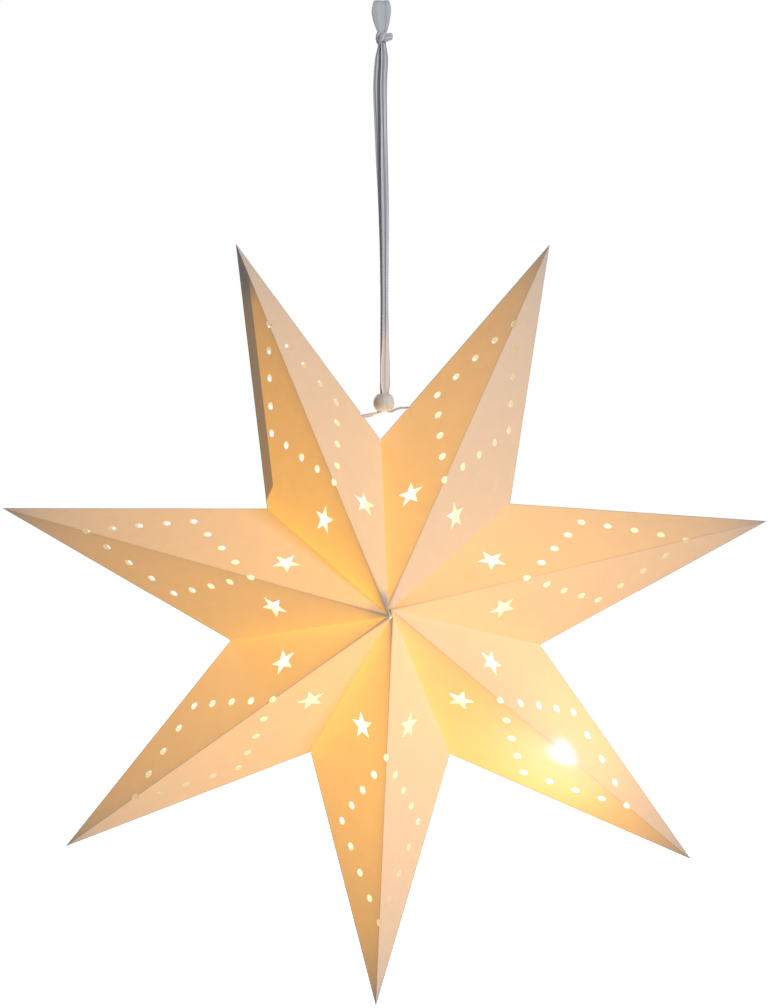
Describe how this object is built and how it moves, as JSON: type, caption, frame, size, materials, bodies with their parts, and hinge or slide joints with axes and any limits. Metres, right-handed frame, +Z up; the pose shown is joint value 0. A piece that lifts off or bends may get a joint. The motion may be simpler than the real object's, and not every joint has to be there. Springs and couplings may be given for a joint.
{
  "type": "paper star lantern",
  "caption": "Hanging folded paper star lantern with punched dots and small star cut-outs, a satin ribbon loop, a sliding wooden bead and a battery lamp inside.",
  "frame": {"origin": "the point inside the top of the ribbon's loop where a hook bears", "axes": "+Z up along the taut ribbon, the star's face looks along -Y, +X to the right as seen from the front"},
  "size_m": [0.5805, 0.212, 0.7593],
  "materials": {
    "paper": "matt white card, punched, warm where the light shows through",
    "ribbon": "grey satin ribbon",
    "bead": "pale matt wood",
    "globe": "frosted",
    "emitter": "phosphor yellow",
    "board": "white lacquered circuit board",
    "steel": "plated",
    "lamp_plastic": "white satin plastic",
    "cage": "black moulded plastic",
    "cell": "plain sleeve",
    "contact": "nickel-plated spring brass",
    "red_lead": "red insulation",
    "black_lead": "black insulation",
    "switch": "black moulded plastic"
  },
  "bodies": {
    "star": {"point_upper_right": "paper", "point_right": "paper", "point_lower_right": "paper", "point_bottom": "paper", "point_lower_left": "paper", "point_left": "paper", "point_upper_left": "paper", "ribbon_loop": "ribbon", "ribbon_knot": "ribbon", "ribbon_left": "ribbon", "ribbon_right": "ribbon", "ribbon_left_stop_knot": "ribbon", "ribbon_right_stop_knot": "ribbon", "lamp_globe": "globe", "light_pipe": "globe", "led_emitters": "emitter", "led_board": "board", "board_screws": "steel", "lamp_housing": "lamp_plastic", "battery_cage": "cage", "battery_cell_1": "cell", "battery_cell_2": "cell", "battery_cell_3": "cell", "contact_plates": "contact", "contact_springs": "contact", "lead_red": "red_lead", "lead_black": "black_lead", "switch_body": "switch"},
    "bead": {"bead": "bead"},
    "switch_knob": {"switch_knob": "switch"},
    "battery_cap": {"battery_cap": "lamp_plastic"}
  },
  "joints": [
    {"name": "bead_slide", "type": "slide", "parent": "star", "child": "bead", "axis": [0, 0, 1], "range_m": [0, 0.26]},
    {"name": "switch_slide", "type": "slide", "parent": "star", "child": "switch_knob", "axis": [-0.9553, 0, 0.2957], "range_m": [0, 0.003]},
    {"name": "cap_twist", "type": "hinge", "parent": "star", "child": "battery_cap", "pos_m": [0.04709, 0, -0.53939], "axis": [-0.9553, 0, 0.2957], "range_deg": [0, 38]}
  ]
}
